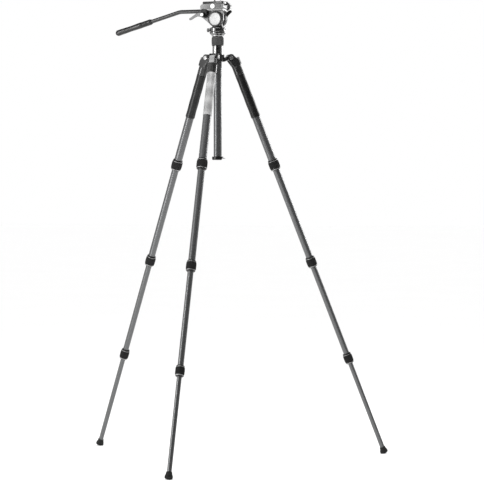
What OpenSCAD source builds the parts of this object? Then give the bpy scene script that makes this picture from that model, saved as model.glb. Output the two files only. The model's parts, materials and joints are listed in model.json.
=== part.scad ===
// Travel tripod with four-section carbon legs, a rising centre column and a
// small fluid video head with a pan handle. Millimetres, +Z up.

/* [Stance] */
// Length of a leg from its hinge to the end of the foot, fully extended
leg_length = 1430; // [1350:1:1750]
// Angle of each leg from the vertical at the first angle stop
leg_spread = 21.8; // [17:0.1:28]
// Distance of each leg hinge from the centre column's axis
hinge_radius = 42.6; // [41:0.1:60]

/* [Leg tubes] */
// Outer diameter of the thickest leg tube
leg_tube_d = 26.5; // [24:0.1:32]
// Wall of every leg tube
tube_wall = 1.5; // [1:0.1:2]
// Gap between a tube and the tube that slides in it
slide_gap = 0.35; // [0.3:0.05:0.6]
// Distance from the hinge to the middle of the first twist lock
lock_1_at = 383; // [340:1:460]
// Length of tube that an inner section keeps inside the outer one
section_overlap = 39; // [30:1:60]

/* [Twist locks] */
// How far the first leg lock stands out round its tube
lock_wall = 4.75; // [4:0.05:8]
// Length of every leg lock
lock_length = 36; // [30:1:44]
// How much further each lock stands out than the one above
lock_growth = 0.45; // [0:0.05:1]

/* [Leg tops] */
// Wall of a leg casting and of its foam grip round the tube
grip_wall = 2.25; // [2:0.05:6]
// Length of a leg casting below the hinge
casting_length = 63; // [54:1:80]
// Length of a foam grip, and of the printed wrap on the front leg
grip_length = 150; // [80:1:200]
// How far a leg's tube stands outside its hinge bolt
tube_offset = 9.7; // [6:0.1:12]
// Diameter of a leg's hinge bolt
bolt_d = 8; // [6:0.5:10]
// Width of a spider arm between a casting's ears
arm_width = 18; // [14:0.5:20]

/* [Feet] */
// Diameter of a rubber foot
foot_d = 26.5; // [20:0.5:30]
// Length of a rubber foot
foot_length = 24; // [20:1:40]
// Radius of a foot's domed sole
sole_r = 16; // [14:0.5:30]

/* [Centre column] */
// Outer diameter of the column
column_d = 26.5; // [22:0.1:32]
// Length of the column below the leg hinges
column_drop = 326; // [200:1:420]
// Wall of the sleeve that the column slides in
neck_wall = 3.4; // [2:0.1:5]
// How far the column's twist lock stands out round the sleeve
collar_wall = 3.25; // [2.5:0.05:8]
// Length of the column's twist lock
collar_length = 31; // [25:1:40]

/* [Fluid head] */
// Direction that the head faces, turned from the X axis
head_pan = -9.9; // [-60:0.1:60]
// Diameter of the pan base
pan_base_d = 52; // [48:1:63]
// Height of the pan base
base_height = 11.1; // [9:0.1:30]
// Diameter of the drag dial beside the head
dial_d = 51; // [42:1:52]
// Diameter of the tilt axle
axle_d = 10; // [8:0.5:12]
// Running gap of every shaft in its bore
bearing_gap = 0.05; // [0.02:0.01:0.1]

/* [Camera plate] */
// Length of the quick-release plate
plate_length = 68; // [60:1:80]
// Width of the quick-release plate and of its receiver
plate_width = 45; // [37:0.5:54]
// Diameter of the camera screw
camera_screw_d = 6.35; // [6.35, 9.525]
// How far the camera screw stands above the pad
screw_reach = 5.5; // [4:0.1:8]

/* [Pan handle] */
// Diameter of the handle tube
handle_d = 13.2; // [11:0.1:13.4]
// Length of the level part of the handle
handle_level = 87; // [60:1:120]
// Length of the sloping part of the handle, with the grip
handle_slope_length = 247; // [180:1:320]
// Slope of the handle's outer part below the level
handle_slope = 15.5; // [0:0.1:40]
// Diameter of the handle's rubber grip
handle_grip_d = 20; // [18:0.5:26]
// Length of the handle's rubber grip
handle_grip_length = 136; // [90:1:150]

/* [Hidden] */
$fn = 64;

// legs: name and direction round the column
LEGS = [["front", -90], ["right", 30], ["left", 150]];
LEG_PIECES = ["casting", "tube_1", "tube_2", "tube_3", "tube_4",
              "lock_1", "lock_2", "lock_3", "foot", "angle_stop"];
HEAD_PIECES = ["pan_base", "pan_housing", "pan_lock_knob", "pan_drag_knob",
               "tilt_cradle", "tilt_axle", "drag_dial", "tilt_lock_lever",
               "handle_clamp", "clamp_lever", "handle_tube", "handle_grip",
               "plate_receiver", "plate_clamp_knob", "plate_safety_catch",
               "quick_plate", "plate_pad", "camera_screw", "video_pin"];

// heights and the column's place, from the leg's length and spread
ball_at = leg_length - sole_r;
hinge_z = ball_at * cos(leg_spread) - tube_offset * sin(leg_spread) + sole_r;
foot_reach = hinge_radius + tube_offset * cos(leg_spread) + ball_at * sin(leg_spread);
column_y = foot_reach / 4;

// leg sections: outer radius of tube n, and the middle of lock n
tube_step = tube_wall + slide_gap;
function tube_r(n) = leg_tube_d / 2 - (n - 1) * tube_step;
section_pitch = (leg_length - lock_1_at) / 3;
function lock_at(n) = lock_1_at + (n - 1) * section_pitch;
function lock_r(n) = tube_r(n) + lock_wall + (n - 1) * lock_growth;
socket_at = 22;
tube_end_past_lock = 10;
function tube_top(n) = n == 1 ? socket_at : lock_at(n - 1) - section_overlap;
function tube_bottom(n) = n == 4 ? leg_length - sole_r : lock_at(n) + tube_end_past_lock;
lock_lip_at = tube_end_past_lock + 0.5;
barrel_edge = 2;
barrel_swell = 0.4;

// leg casting, its fork and its hinge
grip_r = leg_tube_d / 2 + grip_wall;
ear_r = 12;
fork_gap = arm_width / 2 + slide_gap;
fork_floor = 14;
ear_width = grip_r - fork_gap;
bolt_head_r = 7;
bolt_head_t = 1.6;
glue_gap = 0.05;
knee_angle = 20;
knee_at = 34;
shoulder_angle = 50;
shoulder_at = 16;
stop_from = 9;
stop_height = 24;
stop_bottom = stop_from + 22;
stop_width = 16;
stop_thickness = 4;
stop_at = tube_offset + grip_r - 1.5;
stop_tongue = 3;
notch_depth = 1.6;
stop_angles = [0, 28, 58];
wrap_t = 0.8;

// spider hub, neck and collar, measured from the hinge height
column_bore_r = column_d / 2 + slide_gap;
neck_r = column_bore_r + neck_wall;
collar_r = neck_r + collar_wall;
hub_r = neck_r + 5;
arm_root = hub_r - 4 - hinge_radius;
hub_bottom = -14;
hub_top = 10;
neck_bottom = -8;
neck_top = 60;
face_gap = 0.3;
collar_bottom = neck_top - 21.7;
collar_top = collar_bottom + collar_length;
column_top = collar_top + face_gap;
head_disc_r = 20;
head_disc_t = 4;
cap_r = column_d / 2 + 5.25;
cap_t = 11;
plug_depth = 14;
stud_r = 4.76;
stud_length = 6;
hook_turn = 15;
hook_wire_r = 1.8;
hook_ring_r = 9;
hook_ring_x = 14;
hook_pin_r = 2;
hook_pin_half = 14;
hook_slot_half = 11.5;
hook_drop = 6;

// head levels, measured from the tilt axis
base_r = pan_base_d / 2;
pan_split = -41;
base_bottom = pan_split - face_gap - base_height;
seat_gap = 0.02;
tilt_rise = column_top + head_disc_t + seat_gap - base_bottom;
tilt_z = hinge_z + tilt_rise;
base_chamfer = 5;
housing_top = -30;
spindle_r = 9;
spindle_top = -33;
pillar_half = 7;
pillar_r = 17;
cheek_in = pillar_half + 0.4;
cheek_out = 13.4;
cheek_r = 26.5;
saddle_bottom = pillar_r + 1.5;
saddle_top = 34.5;
saddle_front = 26;
saddle_rear = -24;
heel = [-46, 3];
heel_top = 30;
dial_in = cheek_out + face_gap;
dial_thickness = 7.8;
dial_cap_r = 20.5;
dial_cap_t = 2;
lever_hub_r = 24;
lever_hub_t = 8;
lever_reach = 46;
lever_angle = 34;
lock_knob_turn = 205;
knob_z = -36;
knob_gap = 0.6;
knob_screw_r = 2.5;

// receiver and plate
receiver_rear = -53;
receiver_front = 29;
receiver_top = 49.6;
channel_floor = 44.7;
rail_wall = 7.5;
rail_half = plate_width / 2 - rail_wall;
plate_rear = receiver_rear + 9;
plate_front = plate_rear + plate_length;
plate_bottom = receiver_top + 0.4;
plate_thickness = 6.3;
pad_top = plate_bottom + plate_thickness + 2;
end_block = 3;
post_from = pad_top + face_gap;
post_relief = 0.3;
screw_x = -11;
pin_x = 10;
pin_r = 2;
pin_flange_t = 1.6;
screw_head_r = 7;
screw_head_t = 3.4;
catch_from = 5;
catch_length = 18;
catch_bottom = 37;
catch_height = 10;
catch_proud = 2;
clamp_knob = [23, 42];
clamp_knob_r = 13.5;
clamp_knob_t = 10;
knob_shaft_r = 3;

// pan handle and its clamp, measured from the tilt axis
rosette = [-40, 14];
rosette_r = 9.5;
clamp_in = -cheek_out - 0.4;
clamp_wall = 1;
handle_y = clamp_in - clamp_wall - handle_d / 2;
handle_z = 26;
clamp_out = handle_y - handle_d / 2 - clamp_wall;
clamp_reach = 19.6;
clamp_front = 14;
clamp_rear = -9;
handle_end = 5.5;
clamp_screw_r = 2.5;
clamp_screw_end = -9;
clamp_hub_r = 8;
clamp_hub_t = 8.6;
clamp_cap_r = 5.6;
clamp_cap_t = 2;
wing_length = 47;
wing_angle = 197;
wing_width = 7;
wing_t = 4;
handle_bend_x = rosette[0] - handle_level;
handle_wall = 1.5;
handle_end_wall = 6;

module on_column() {
    translate([0, column_y, hinge_z]) children();
}

// along a leg: -Z runs down the tube, +X faces outwards, the hinge is at the origin
module on_leg(leg) {
    on_column() rotate([0, 0, leg[1]]) translate([hinge_radius, 0, 0])
        rotate([0, -leg_spread, 0]) children();
}

// along a leg's tube, level with its hinge
module on_tube(leg) {
    on_leg(leg) translate([tube_offset, 0, 0]) children();
}

// on the head: +X faces forwards, the tilt axis runs along Y through the origin
module on_head() {
    translate([0, column_y, tilt_z]) rotate([0, 0, head_pan]) children();
}

// a round bar along Y between two places
module bar_y(r, from, to) {
    translate([0, from, 0]) rotate([-90, 0, 0]) cylinder(r = r, h = to - from);
}

// a flat plate in the XZ plane between two places along Y
module plate_y(from, to) {
    translate([0, to, 0]) rotate([90, 0, 0]) linear_extrude(height = to - from) children();
}

module pipe(r_out, r_in, from, to) {
    difference() {
        translate([0, 0, from]) cylinder(r = r_out, h = to - from);
        translate([0, 0, from - 1]) cylinder(r = r_in, h = to - from + 2);
    }
}

// a barrel-shaped ring round Z, thicker in the middle than at its edges
module barrel(r, from, to) {
    rotate_extrude() polygon([
        [0, from], [r - barrel_edge, from], [r - barrel_swell, from + 3 * barrel_edge],
        [r, (from + to) / 2], [r - barrel_swell, to - 3 * barrel_edge],
        [r - barrel_edge, to], [0, to]]);
}

// ---- spider, neck and column -------------------------------------------------

module spider_arm() {
    difference() {
        union() {
            bar_y(ear_r, -arm_width / 2, arm_width / 2);
            plate_y(-arm_width / 2, arm_width / 2) polygon([
                [-9, -7.5], [-19, -13], [arm_root, hub_bottom],
                [arm_root, -3], [-22, -1], [-12, 4], [-5, 10]]);
        }
        bar_y(bolt_d / 2 + bearing_gap, -arm_width, arm_width);
        for (a = stop_angles)
            rotate([0, -leg_spread - a, 0]) translate([ear_r - notch_depth, -arm_width, -stop_from - 3])
                cube([ear_r, 2 * arm_width, 3]);
    }
}

module spider() {
    color("dimgray") difference() {
        on_column() union() {
            translate([0, 0, hub_bottom]) cylinder(r = hub_r, h = hub_top - hub_bottom);
            for (leg = LEGS) rotate([0, 0, leg[1]]) translate([hinge_radius, 0, 0]) spider_arm();
        }
        on_column() {
            translate([0, 0, hub_bottom - 1]) cylinder(r = column_bore_r, h = 40);
            translate([0, 0, neck_bottom]) cylinder(r = neck_r + glue_gap, h = 40);
        }
    }
}

module neck_sleeve() {
    color("silver") on_column() pipe(neck_r, column_bore_r, neck_bottom, neck_top);
}

module hinge_bolts() {
    color("silver") for (leg = LEGS)
        on_leg(leg) difference() {
            union() {
                bar_y(bolt_d / 2, -grip_r, grip_r);
                for (side = [-1, 1])
                    translate([0, side * (grip_r + bolt_head_t / 2), 0])
                        bar_y(bolt_head_r, -bolt_head_t / 2, bolt_head_t / 2);
            }
            for (side = [-1, 1], x = [-3.6, 3.6])
                translate([x, side * (grip_r + bolt_head_t), 0]) bar_y(1.1, -1, 1);
        }
}

module column_lock() {
    color("black") on_column() difference() {
        barrel(collar_r, collar_bottom, collar_top);
        translate([0, 0, collar_bottom - 1])
            cylinder(r = neck_r + slide_gap, h = neck_top - collar_bottom + 1.5);
        translate([0, 0, collar_bottom]) cylinder(r = column_bore_r, h = collar_length + 1);
    }
}

module column_tube() {
    color("#3c3c3c") on_column()
        pipe(column_d / 2, column_d / 2 - tube_wall, -column_drop, column_top);
}

module column_cap() {
    color("black") on_column() translate([0, 0, -column_drop]) difference() {
        union() {
            translate([0, 0, -cap_t]) cylinder(r = cap_r - 1.5, h = cap_t);
            translate([0, 0, 1.5 - cap_t]) cylinder(r = cap_r, h = cap_t - 1.5);
            cylinder(r = column_d / 2 - tube_wall - glue_gap, h = plug_depth);
        }
        rotate([0, 0, hook_turn]) translate([0, 0, -hook_drop]) {
            translate([-3, -hook_slot_half, -cap_t]) cube([40, 2 * hook_slot_half, cap_t + 2.5]);
            bar_y(hook_pin_r + bearing_gap, -hook_pin_half - 0.3, hook_pin_half + 0.3);
        }
    }
}

// an open wire hook that folds flat into the cap's slot
module ballast_hook() {
    color("silver") on_column() rotate([0, 0, hook_turn]) translate([0, 0, -column_drop - hook_drop]) {
        bar_y(hook_pin_r, -hook_pin_half, hook_pin_half);
        rotate([0, 90, 0]) cylinder(r = hook_wire_r - 0.2, h = hook_ring_x - hook_ring_r);
        translate([hook_ring_x, 0, 0]) rotate([0, 0, -180]) rotate_extrude(angle = 290)
            translate([hook_ring_r, 0]) circle(r = hook_wire_r, $fn = 32);
    }
}

module head_disc() {
    color("silver") on_column() translate([0, 0, column_top]) {
        cylinder(r = head_disc_r, h = head_disc_t);
        cylinder(r = stud_r, h = head_disc_t + stud_length);
        translate([0, 0, -plug_depth])
            cylinder(r = column_d / 2 - tube_wall - glue_gap, h = plug_depth);
    }
}

// ---- legs ----------------------------------------------------------------------

module casting(leg) {
    color("dimgray") on_leg(leg) difference() {
        union() {
            for (side = [-1, 1])
                translate([0, side * (fork_gap + ear_width / 2), 0]) {
                    bar_y(ear_r, -ear_width / 2, ear_width / 2);
                    plate_y(-ear_width / 2, ear_width / 2) polygon([
                        [-ear_r * cos(knee_angle), -ear_r * sin(knee_angle)],
                        [tube_offset - ear_r, -knee_at], [tube_offset + ear_r, -knee_at],
                        [tube_offset + ear_r, -shoulder_at],
                        [ear_r * cos(shoulder_angle), ear_r * sin(shoulder_angle)]]);
                }
            translate([tube_offset, 0, -casting_length])
                cylinder(r = grip_r, h = casting_length - fork_floor);
        }
        translate([tube_offset, 0, -casting_length - 1])
            cylinder(r = leg_tube_d / 2 + glue_gap, h = casting_length - socket_at + 1);
        bar_y(bolt_d / 2 + bearing_gap, -2 * grip_r, 2 * grip_r);
        translate([tube_offset + ear_r + 0.2, -stop_width / 2 - slide_gap,
                   -stop_bottom - slide_gap])
            cube([ear_r, stop_width + 2 * slide_gap, stop_bottom + ear_r]);
    }
}

// the spring-loaded tab that holds a leg at one of its angles
module angle_stop(leg) {
    color("gray") on_leg(leg) difference() {
        union() {
            translate([stop_at, -stop_width / 2, -stop_bottom])
                cube([stop_thickness, stop_width, stop_height]);
            translate([ear_r + 0.4, -stop_width / 2, -stop_from - stop_tongue])
                cube([stop_at - ear_r, stop_width, stop_tongue]);
        }
        for (groove = [-1, 0, 1])
            translate([stop_at + stop_thickness, -stop_width,
                       stop_height / 2 - stop_bottom + 4 * groove])
                rotate([-90, 0, 0]) cylinder(r = 0.8, h = 2 * stop_width);
    }
}

module leg_tube(leg, n) {
    color("#3c3c3c") on_tube(leg)
        pipe(tube_r(n), tube_r(n) - tube_wall, -tube_bottom(n), -tube_top(n));
}

module twist_lock(leg, n) {
    color("black") on_tube(leg) translate([0, 0, -lock_at(n)]) difference() {
        barrel(lock_r(n), -lock_length / 2, lock_length / 2);
        translate([0, 0, -lock_lip_at])
            cylinder(r = tube_r(n) + slide_gap, h = lock_length);
        translate([0, 0, -lock_length])
            cylinder(r = tube_r(n + 1) + slide_gap, h = 2 * lock_length);
    }
}

module grip(leg) {
    color("black") on_tube(leg) pipe(grip_r, leg_tube_d / 2 + glue_gap,
                                    -casting_length - grip_length, -casting_length);
}

module wrap(leg) {
    color("lightgray") on_tube(leg)
        pipe(leg_tube_d / 2 + glue_gap + wrap_t, leg_tube_d / 2 + glue_gap,
             -casting_length - grip_length, -casting_length);
}

module foot(leg) {
    foot_r = foot_d / 2;
    rim_at = ball_at + sqrt(sole_r * sole_r - foot_r * foot_r);
    color("black") on_tube(leg) difference() {
        union() {
            intersection() {
                translate([0, 0, -ball_at]) sphere(r = sole_r);
                translate([0, 0, -leg_length]) cylinder(r = foot_r, h = leg_length - rim_at);
            }
            translate([0, 0, -rim_at]) cylinder(r = foot_r, h = 4);
            translate([0, 0, 4 - rim_at])
                cylinder(r1 = foot_r, r2 = tube_r(4) + 2, h = rim_at - 4 - leg_length + foot_length);
        }
        translate([0, 0, -tube_bottom(4)]) cylinder(r = tube_r(4) + glue_gap, h = foot_length);
    }
}

// ---- fluid head --------------------------------------------------------------------

module pan_base() {
    color("#2a2a2a") on_head() difference() {
        union() {
            translate([0, 0, base_bottom])
                cylinder(r1 = head_disc_r, r2 = base_r, h = base_chamfer);
            translate([0, 0, base_bottom + base_chamfer])
                cylinder(r = base_r, h = base_height - base_chamfer);
            translate([0, 0, base_bottom + base_chamfer])
                cylinder(r = spindle_r, h = spindle_top - base_bottom - base_chamfer);
        }
        translate([0, 0, base_bottom - 1]) cylinder(r = stud_r + bearing_gap, h = stud_length + 1.5);
    }
}

module pan_housing() {
    color("#2a2a2a") on_head() difference() {
        union() {
            translate([0, 0, pan_split]) cylinder(r = base_r, h = housing_top - pan_split);
            translate([-pillar_r, -pillar_half, pan_split + 5])
                cube([2 * pillar_r, 2 * pillar_half, -pan_split - 5]);
            bar_y(pillar_r, -pillar_half, pillar_half);
        }
        translate([0, 0, pan_split - 1])
            cylinder(r = spindle_r + bearing_gap, h = spindle_top - pan_split + 1.3);
        bar_y(axle_d / 2 + bearing_gap, -base_r, base_r);
        knob_hole(lock_knob_turn);
        knob_hole(0);
    }
}

module knob_hole(turn) {
    rotate([0, 0, turn]) translate([base_r - 8.5, 0, knob_z]) rotate([0, 90, 0])
        cylinder(r = knob_screw_r + bearing_gap, h = 20);
}

// a knob on the side of the pan housing, with its clamping screw
module side_knob(turn, r, length) {
    on_head() rotate([0, 0, turn]) translate([0, 0, knob_z]) rotate([0, 90, 0]) {
        translate([0, 0, base_r - 8]) cylinder(r = knob_screw_r, h = 9);
        translate([0, 0, base_r + knob_gap]) cylinder(r = r, h = length - 1.5);
        translate([0, 0, base_r + knob_gap]) cylinder(r = r - 1.5, h = length);
    }
}

module pan_lock_knob() {
    color("#2a2a2a") side_knob(lock_knob_turn, 6.4, 9);
}

module pan_drag_knob() {
    color("silver") side_knob(0, 10.4, 6.5);
}

// outline of a cheek: round about the axle, with a heel towards the handle
module cheek_outline() {
    reach = norm(heel);
    touch = atan2(heel[1], heel[0]) + acos(cheek_r / reach);
    circle(r = cheek_r);
    polygon([[0, 0], cheek_r * [cos(touch), sin(touch)], heel,
             [heel[0], heel_top], [saddle_rear, heel_top],
             [saddle_rear, saddle_top], [saddle_front, saddle_top], [cheek_r, 0]]);
}

module tilt_cradle() {
    half = plate_width / 2 - 2.5;
    color("silver") on_head() difference() {
        union() {
            for (side = [-1, 1])
                plate_y(side > 0 ? cheek_in : -cheek_out, side > 0 ? cheek_out : -cheek_in)
                    cheek_outline();
            translate([saddle_rear, -half, saddle_bottom + 9])
                cube([saddle_front - saddle_rear, 2 * half, saddle_top - saddle_bottom - 9]);
            translate([saddle_rear, -cheek_out, saddle_bottom])
                cube([saddle_front - saddle_rear, 2 * cheek_out, 12]);
            at_rosette() bar_y(rosette_r, -cheek_out, -cheek_in);
        }
        bar_y(axle_d / 2 + bearing_gap, -base_r, base_r);
        at_rosette() bar_y(clamp_screw_r + bearing_gap, -base_r, 0);
        bar_y(lever_hub_r + 1.8, cheek_out, base_r);
        bar_y(dial_d / 2 + 0.8, -base_r - 10, -cheek_out);
    }
}

module tilt_axle() {
    color("silver") on_head() bar_y(axle_d / 2, -dial_in - dial_thickness + 2, dial_in + lever_hub_t - 1);
}

module drag_dial() {
    color("silver") on_head() difference() {
        union() {
            bar_y(dial_d / 2, -dial_in - dial_thickness, -dial_in);
            bar_y(dial_cap_r, -dial_in - dial_thickness - dial_cap_t, -dial_in);
        }
        bar_y(axle_d / 2 + bearing_gap, -dial_in - dial_thickness + 1.5, 0);
    }
}

module tilt_lock_lever() {
    color("#2a2a2a") on_head() difference() {
        union() {
            bar_y(lever_hub_r, dial_in, dial_in + lever_hub_t);
            rotate([0, -lever_angle, 0]) {
                translate([18, dial_in + 1, -3.5]) cube([lever_reach - 18, lever_hub_t - 2, 7]);
                translate([lever_reach, 0, 0]) bar_y(4, dial_in + 1, dial_in + lever_hub_t - 1);
            }
        }
        bar_y(axle_d / 2 + bearing_gap, 0, dial_in + lever_hub_t - 0.5);
    }
}

// ---- pan handle ----------------------------------------------------------------------

module at_rosette() {
    translate([rosette[0], 0, rosette[1]]) children();
}

// outline of the handle's clamp, round about the rosette's axis
module clamp_outline() {
    circle(r = rosette_r);
    intersection() {
        circle(r = clamp_reach);
        translate([clamp_rear, 0]) square([clamp_front - clamp_rear, clamp_reach]);
    }
}

module handle_clamp() {
    color("#2a2a2a") on_head() difference() {
        at_rosette() plate_y(clamp_out, clamp_in) clamp_outline();
        translate([2 * rosette[0], handle_y, handle_z]) rotate([0, 90, 0])
            cylinder(r = handle_d / 2 + glue_gap, h = handle_end + glue_gap - rosette[0]);
        at_rosette() bar_y(clamp_screw_r + bearing_gap, clamp_out - 1, clamp_in + 1);
    }
}

module clamp_lever() {
    hub_in = clamp_out - face_gap;
    hub_out = hub_in - clamp_hub_t;
    color("gray") on_head() at_rosette() {
        bar_y(clamp_hub_r, hub_out, hub_in);
        bar_y(clamp_screw_r, hub_in - 1, clamp_screw_end);
        bar_y(clamp_cap_r, hub_out - clamp_cap_t, hub_in);
        rotate([0, -wing_angle, 0]) translate([0, hub_out + 1, 0]) {
            translate([0, 0, -wing_width / 2]) cube([wing_length - wing_t, wing_t, wing_width]);
            translate([wing_length - wing_t, 0, 0]) bar_y(wing_width / 2 + 1, 0, wing_t);
        }
    }
}

// the bent line of the handle tube, as a solid bar of a given radius
module handle_bar(r, end) {
    translate([handle_bend_x, handle_y, handle_z]) {
        rotate([0, 90, 0]) cylinder(r = r, h = rosette[0] + handle_end - handle_bend_x);
        sphere(r = r);
        rotate([0, -90 - handle_slope, 0]) cylinder(r = r, h = end);
    }
}

module handle_tube() {
    color("#2a2a2a") on_head() difference() {
        handle_bar(handle_d / 2, handle_slope_length - handle_end_wall);
        handle_bar(handle_d / 2 - handle_wall, handle_slope_length - handle_end_wall - 2);
    }
}

module handle_grip() {
    outer = handle_grip_d / 2;
    color("black") on_head() translate([handle_bend_x, handle_y, handle_z])
        rotate([0, -90 - handle_slope, 0]) difference() {
            union() {
                translate([0, 0, handle_slope_length - handle_grip_length])
                    cylinder(r = outer, h = handle_grip_length - outer);
                translate([0, 0, handle_slope_length - outer]) sphere(r = outer);
            }
            translate([0, 0, handle_slope_length - handle_grip_length - 1])
                cylinder(r = handle_d / 2 + glue_gap, h = handle_grip_length + 1 - handle_end_wall);
        }
}

// ---- camera plate --------------------------------------------------------------------------

module plate_receiver() {
    half = plate_width / 2;
    slope = 6;
    color("silver") on_head() difference() {
        plate_y(-half, half) polygon([
            [receiver_rear, saddle_top], [receiver_front, saddle_top],
            [receiver_front, receiver_top], [receiver_rear + slope, receiver_top],
            [receiver_rear, receiver_top - slope]]);
        translate([receiver_rear - 1, -rail_half - slide_gap, channel_floor])
            cube([receiver_front - receiver_rear + 2, 2 * (rail_half + slide_gap), 20]);
        translate([catch_from - slide_gap, -half - 1, catch_bottom - slide_gap])
            cube([catch_length + 2 * slide_gap, 6, catch_height + 2 * slide_gap]);
        translate([clamp_knob[0], 0, clamp_knob[1]])
            bar_y(knob_shaft_r + bearing_gap, rail_half + 2, half + 1);
    }
}

module plate_clamp_knob() {
    from = plate_width / 2 + 0.7;
    color("lightgray") on_head() translate([clamp_knob[0], 0, clamp_knob[1]]) {
        bar_y(knob_shaft_r, rail_half + 2.5, from + 1);
        bar_y(clamp_knob_r, from, from + clamp_knob_t);
    }
}

module plate_safety_catch() {
    half = plate_width / 2;
    color("gray") on_head() difference() {
        translate([catch_from, -half - catch_proud, catch_bottom])
            cube([catch_length, catch_proud + 2, catch_height]);
        for (x = [catch_from + 2.5:2.6:catch_from + catch_length - 2])
            translate([x, -half - catch_proud, catch_bottom - 1]) cylinder(r = 0.7, h = catch_height + 2);
    }
}

module quick_plate() {
    half = plate_width / 2;
    color("#2a2a2a") on_head() difference() {
        union() {
            translate([plate_rear, -half, plate_bottom])
                cube([plate_length, plate_width, plate_thickness]);
            translate([plate_front, -half, plate_bottom])
                cube([end_block, plate_width, pad_top - plate_bottom]);
            translate([plate_rear, -rail_half, channel_floor + 0.3])
                cube([plate_length, 2 * rail_half, plate_bottom - channel_floor]);
        }
        translate([screw_x, 0, 0]) cylinder(r = camera_screw_d / 2 + bearing_gap, h = 100);
        translate([screw_x, 0, channel_floor]) cylinder(r = screw_head_r + slide_gap, h = 4.5);
        translate([pin_x, 0, channel_floor]) cylinder(r = 2 * pin_r + slide_gap, h = 8);
        translate([pin_x, 0, 0]) cylinder(r = pin_r + bearing_gap, h = 100);
    }
}

module plate_pad() {
    half = plate_width / 2 - 1;
    color("gray") on_head() difference() {
        translate([plate_rear + 1, -half, plate_bottom + plate_thickness])
            cube([plate_length - 1, 2 * half, pad_top - plate_bottom - plate_thickness]);
        translate([screw_x, 0, 0]) cylinder(r = camera_screw_d / 2 + 1, h = 100);
        translate([pin_x, 0, 0]) cylinder(r = pin_r + 1, h = 100);
    }
}

module camera_screw() {
    color("silver") on_head() translate([screw_x, 0, 0]) {
        translate([0, 0, channel_floor + 0.5]) difference() {
            cylinder(r = screw_head_r, h = screw_head_t);
            translate([-screw_head_r, -0.8, -1]) cube([2 * screw_head_r, 1.6, 2.2]);
        }
        translate([0, 0, channel_floor + 2])
            cylinder(r = camera_screw_d / 2 - post_relief, h = post_from - channel_floor - 2);
        translate([0, 0, post_from])
            cylinder(r = camera_screw_d / 2, h = pad_top + screw_reach - post_from);
    }
}

module video_pin() {
    flange_z = channel_floor + 8 - pin_flange_t - bearing_gap;
    color("silver") on_head() translate([pin_x, 0, 0]) {
        translate([0, 0, flange_z]) cylinder(r = 2 * pin_r, h = pin_flange_t);
        translate([0, 0, flange_z]) cylinder(r = pin_r - post_relief, h = post_from - flange_z);
        translate([0, 0, post_from])
            cylinder(r = pin_r, h = pad_top + screw_reach - 0.5 - post_from);
    }
}

// ---- nodes ------------------------------------------------------------------------------------

spider();
neck_sleeve();
hinge_bolts();
column_lock();
column_tube();
column_cap();
ballast_hook();
head_disc();
for (leg = LEGS) {
    casting(leg);
    angle_stop(leg);
    foot(leg);
    for (n = [1:4]) leg_tube(leg, n);
    for (n = [1:3]) twist_lock(leg, n);
}
wrap(LEGS[0]);  // front_wrap
grip(LEGS[1]);  // right_grip
grip(LEGS[2]);  // left_grip
pan_base();
pan_housing();
pan_lock_knob();
pan_drag_knob();
tilt_cradle();
tilt_axle();
drag_dial();
tilt_lock_lever();
handle_clamp();
clamp_lever();
handle_tube();
handle_grip();
plate_receiver();
plate_clamp_knob();
plate_safety_catch();
quick_plate();
plate_pad();
camera_screw();
video_pin();
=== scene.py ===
"""The looks of a travel tripod with a small fluid video head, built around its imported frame."""

import json
import math

import bmesh
import bpy
from mathutils import Matrix, Vector


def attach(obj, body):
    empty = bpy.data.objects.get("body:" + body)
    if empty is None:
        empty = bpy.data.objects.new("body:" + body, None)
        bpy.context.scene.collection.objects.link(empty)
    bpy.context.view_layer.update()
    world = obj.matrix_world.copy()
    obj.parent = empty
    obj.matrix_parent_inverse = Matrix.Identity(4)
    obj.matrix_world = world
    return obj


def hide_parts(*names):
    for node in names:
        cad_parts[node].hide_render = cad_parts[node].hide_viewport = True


bl_info = {
    "name": "Travel tripod with video head",
    "version": (1, 0, 0),
    "blender": (4, 5, 0),
    "location": "View3D > Sidebar > Tripod",
    "description": "Builds the visible pieces of a four-section tripod and its fluid head",
    "category": "Add Mesh",
}

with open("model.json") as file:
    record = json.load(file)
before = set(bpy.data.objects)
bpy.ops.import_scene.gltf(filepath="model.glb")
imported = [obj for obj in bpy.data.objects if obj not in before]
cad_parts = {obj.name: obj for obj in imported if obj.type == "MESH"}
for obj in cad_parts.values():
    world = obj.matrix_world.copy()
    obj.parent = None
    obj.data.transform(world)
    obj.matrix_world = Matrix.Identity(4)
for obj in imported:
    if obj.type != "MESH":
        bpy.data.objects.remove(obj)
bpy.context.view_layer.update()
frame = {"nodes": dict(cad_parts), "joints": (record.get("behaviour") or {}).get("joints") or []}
JOINTS = {joint["name"]: joint for joint in frame["joints"]}
LEGS = ("front", "right", "left")
MM = 0.001
TAU = 2 * math.pi

# Millimetres and degrees, unless a name says otherwise.
GAP = 0.35                  # between a lock's bore and its tube
SKIN_GAP = 0.05             # between a grip's or wrap's bore and its tube
LOCK_GROOVE = 2.2           # how deep a lock's rubber sleeve and rings are let in
FOAM_WAVE, FOAM_WAVES = 0.25, 3
LEG_WEAVE, COLUMN_WEAVE = 11.0, 13.0    # radii that the carbon's tows are laid out for
TOW = 1.6                   # width of one carbon tow
DOTS_ROUND, DOTS_ALONG = 44, 80
RING_PITCH = 0.00045        # metres between the turned rings of the dial's face
HOUSING_TOP = 27.0          # the pan drum's top, below the tilt axle
PILLAR_RADIUS, PILLAR_HALF = 17, 7
TILT_HUB, TILT_LEVER_ANGLE, TILT_TEETH = 25.6, -34, 40
HANDLE_SLOPE = 15.5
GRIP_LENGTH, GRIP_GROOVES = 136.0, 5
BADGE_X, BADGE_Z, BADGE_RADIUS = -8.5, 42, 7.6
CATCH_BARS, PAD_BARS = 7, 26
THREAD_RADIUS, THREAD_PITCH = 3.175, 1.27

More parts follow.
